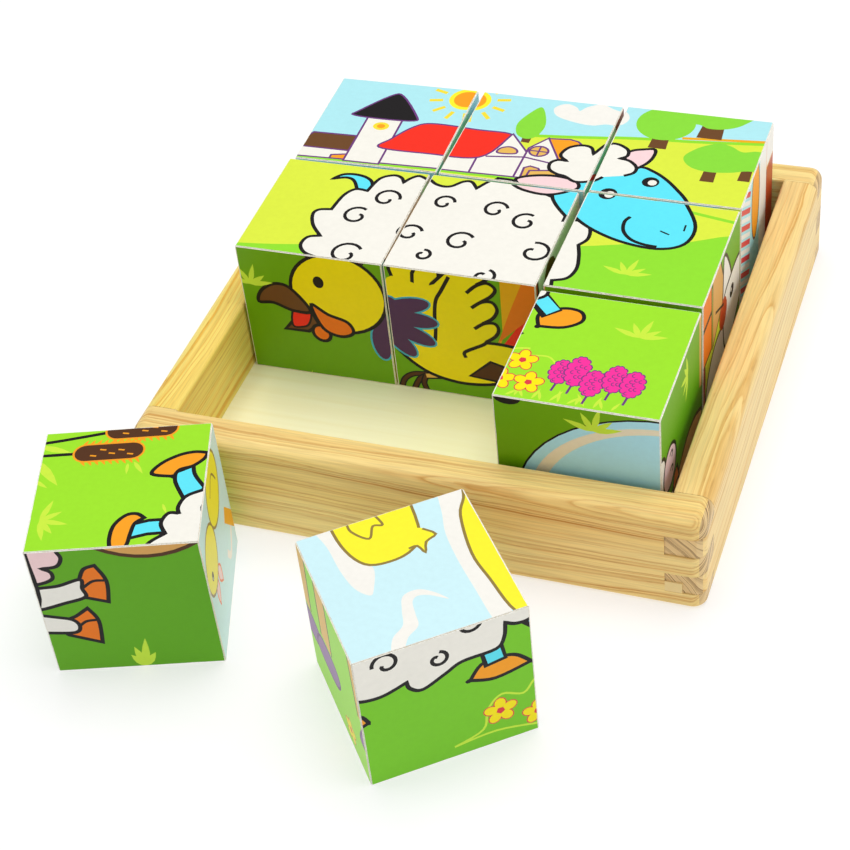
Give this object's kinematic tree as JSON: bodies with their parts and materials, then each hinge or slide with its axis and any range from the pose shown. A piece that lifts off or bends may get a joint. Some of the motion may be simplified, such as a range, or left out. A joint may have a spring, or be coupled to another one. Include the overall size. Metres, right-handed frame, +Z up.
{
  "type": "picture cube puzzle",
  "caption": "Wooden picture cubes in a square box-jointed tray; each cube lifts out and turns to another face to make one of several pictures.",
  "frame": {"origin": "centre of the whole set's footprint, on the surface it stands on; the tray's centre is at x 5.2 mm, y 34.2 mm", "axes": "+Z up out of the tray, +X to the right, +Y to the back of the tray, with the two loose cubes in front at -Y"},
  "size_m": [0.1555, 0.2135, 0.0478],
  "materials": {
    "pine": "smooth sanded pine, clear matt lacquer, long fine grain",
    "base_board": "smooth thin board, pale, faint grain",
    "filler_wood": "pale wood slip, sanded flush",
    "cube_wood": "plain sanded wood, seen only along the cubes' edges",
    "printed_paper": "printed paper with a clear satin coat; white cut edges"
  },
  "bodies": {
    "tray": {"front_rail": "pine", "back_rail": "pine", "left_rail": "pine", "right_rail": "pine", "base_panel": "base_board", "groove_plugs": "filler_wood"},
    "back_left_cube": {"back_left_cube_core": "cube_wood", "back_left_cube_top_picture": "printed_paper", "back_left_cube_bottom_picture": "printed_paper", "back_left_cube_front_picture": "printed_paper", "back_left_cube_back_picture": "printed_paper", "back_left_cube_side_pictures": "printed_paper"},
    "back_centre_cube": {"back_centre_cube_core": "cube_wood", "back_centre_cube_top_picture": "printed_paper", "back_centre_cube_bottom_picture": "printed_paper", "back_centre_cube_front_picture": "printed_paper", "back_centre_cube_back_picture": "printed_paper", "back_centre_cube_side_pictures": "printed_paper"},
    "back_right_cube": {"back_right_cube_core": "cube_wood", "back_right_cube_top_picture": "printed_paper", "back_right_cube_bottom_picture": "printed_paper", "back_right_cube_front_picture": "printed_paper", "back_right_cube_back_picture": "printed_paper", "back_right_cube_side_pictures": "printed_paper"},
    "middle_left_cube": {"middle_left_cube_core": "cube_wood", "middle_left_cube_top_picture": "printed_paper", "middle_left_cube_bottom_picture": "printed_paper", "middle_left_cube_front_picture": "printed_paper", "middle_left_cube_back_picture": "printed_paper", "middle_left_cube_side_pictures": "printed_paper"},
    "middle_centre_cube": {"middle_centre_cube_core": "cube_wood", "middle_centre_cube_top_picture": "printed_paper", "middle_centre_cube_bottom_picture": "printed_paper", "middle_centre_cube_front_picture": "printed_paper", "middle_centre_cube_back_picture": "printed_paper", "middle_centre_cube_side_pictures": "printed_paper"},
    "middle_right_cube": {"middle_right_cube_core": "cube_wood", "middle_right_cube_top_picture": "printed_paper", "middle_right_cube_bottom_picture": "printed_paper", "middle_right_cube_front_picture": "printed_paper", "middle_right_cube_back_picture": "printed_paper", "middle_right_cube_side_pictures": "printed_paper"},
    "front_right_cube": {"front_right_cube_core": "cube_wood", "front_right_cube_top_picture": "printed_paper", "front_right_cube_bottom_picture": "printed_paper", "front_right_cube_front_picture": "printed_paper", "front_right_cube_back_picture": "printed_paper", "front_right_cube_side_pictures": "printed_paper"},
    "loose_left_cube": {"loose_left_cube_core": "cube_wood", "loose_left_cube_top_picture": "printed_paper", "loose_left_cube_bottom_picture": "printed_paper", "loose_left_cube_front_picture": "printed_paper", "loose_left_cube_back_picture": "printed_paper", "loose_left_cube_side_pictures": "printed_paper"},
    "loose_right_cube": {"loose_right_cube_core": "cube_wood", "loose_right_cube_top_picture": "printed_paper", "loose_right_cube_bottom_picture": "printed_paper", "loose_right_cube_front_picture": "printed_paper", "loose_right_cube_back_picture": "printed_paper", "loose_right_cube_side_pictures": "printed_paper"}
  },
  "joints": [
    {"name": "back_left_cube_lift", "type": "slide", "parent": "tray", "child": "back_left_cube", "axis": [0, 0, 1], "range_m": [0, 0.065]},
    {"name": "back_centre_cube_lift", "type": "slide", "parent": "tray", "child": "back_centre_cube", "axis": [0, 0, 1], "range_m": [0, 0.065]},
    {"name": "back_right_cube_lift", "type": "slide", "parent": "tray", "child": "back_right_cube", "axis": [0, 0, 1], "range_m": [0, 0.065]},
    {"name": "middle_left_cube_lift", "type": "slide", "parent": "tray", "child": "middle_left_cube", "axis": [0, 0, 1], "range_m": [0, 0.065]},
    {"name": "middle_centre_cube_lift", "type": "slide", "parent": "tray", "child": "middle_centre_cube", "axis": [0, 0, 1], "range_m": [0, 0.065]},
    {"name": "middle_right_cube_lift", "type": "slide", "parent": "tray", "child": "middle_right_cube", "axis": [0, 0, 1], "range_m": [0, 0.065]},
    {"name": "front_right_cube_lift", "type": "slide", "parent": "tray", "child": "front_right_cube", "axis": [0, 0, 1], "range_m": [0, 0.065]},
    {"name": "loose_left_cube_tip", "type": "hinge", "parent": "tray", "child": "loose_left_cube", "pos_m": [-0.04605, -0.08743, 0], "axis": [0.9466, 0.3223, 0], "range_deg": [0, 90]},
    {"name": "loose_right_cube_tip", "type": "hinge", "parent": "tray", "child": "loose_right_cube", "pos_m": [0.03451, -0.09441, 0], "axis": [0.7804, 0.6252, 0], "range_deg": [0, 90]}
  ]
}
